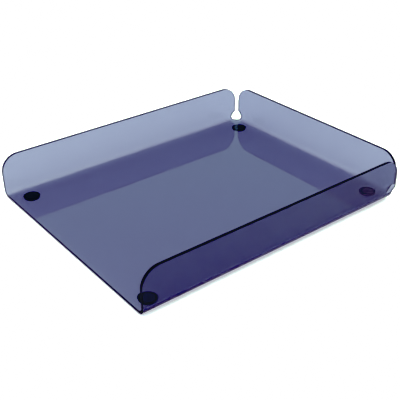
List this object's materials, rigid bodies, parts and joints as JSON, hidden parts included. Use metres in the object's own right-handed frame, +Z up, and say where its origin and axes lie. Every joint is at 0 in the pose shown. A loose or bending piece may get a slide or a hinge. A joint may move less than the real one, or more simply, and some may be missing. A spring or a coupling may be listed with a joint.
{
  "type": "letter tray",
  "caption": "Open-fronted desk tray for papers, bent from one sheet of tinted clear acrylic, with low side and back walls and stick-on rubber feet.",
  "frame": {"origin": "on the desk plane, under the centre of the tray's outer footprint", "axes": "+Z up, +Y from the open front towards the back wall along the tray's length, +X to the right when facing the back wall"},
  "size_m": [0.258, 0.32, 0.047],
  "materials": {
    "tinted_acrylic": "clear glossy cast sheet with a blue-violet tint, satin cut edges",
    "foot_rubber": "matt moulded",
    "adhesive_pad": "grey double-sided foam tape"
  },
  "bodies": {
    "root": {"tray_shell": "tinted_acrylic", "foot_front_left": "foot_rubber", "adhesive_front_left": "adhesive_pad", "foot_front_right": "foot_rubber", "adhesive_front_right": "adhesive_pad", "foot_back_left": "foot_rubber", "adhesive_back_left": "adhesive_pad", "foot_back_right": "foot_rubber", "adhesive_back_right": "adhesive_pad"}
  },
  "joints": []
}
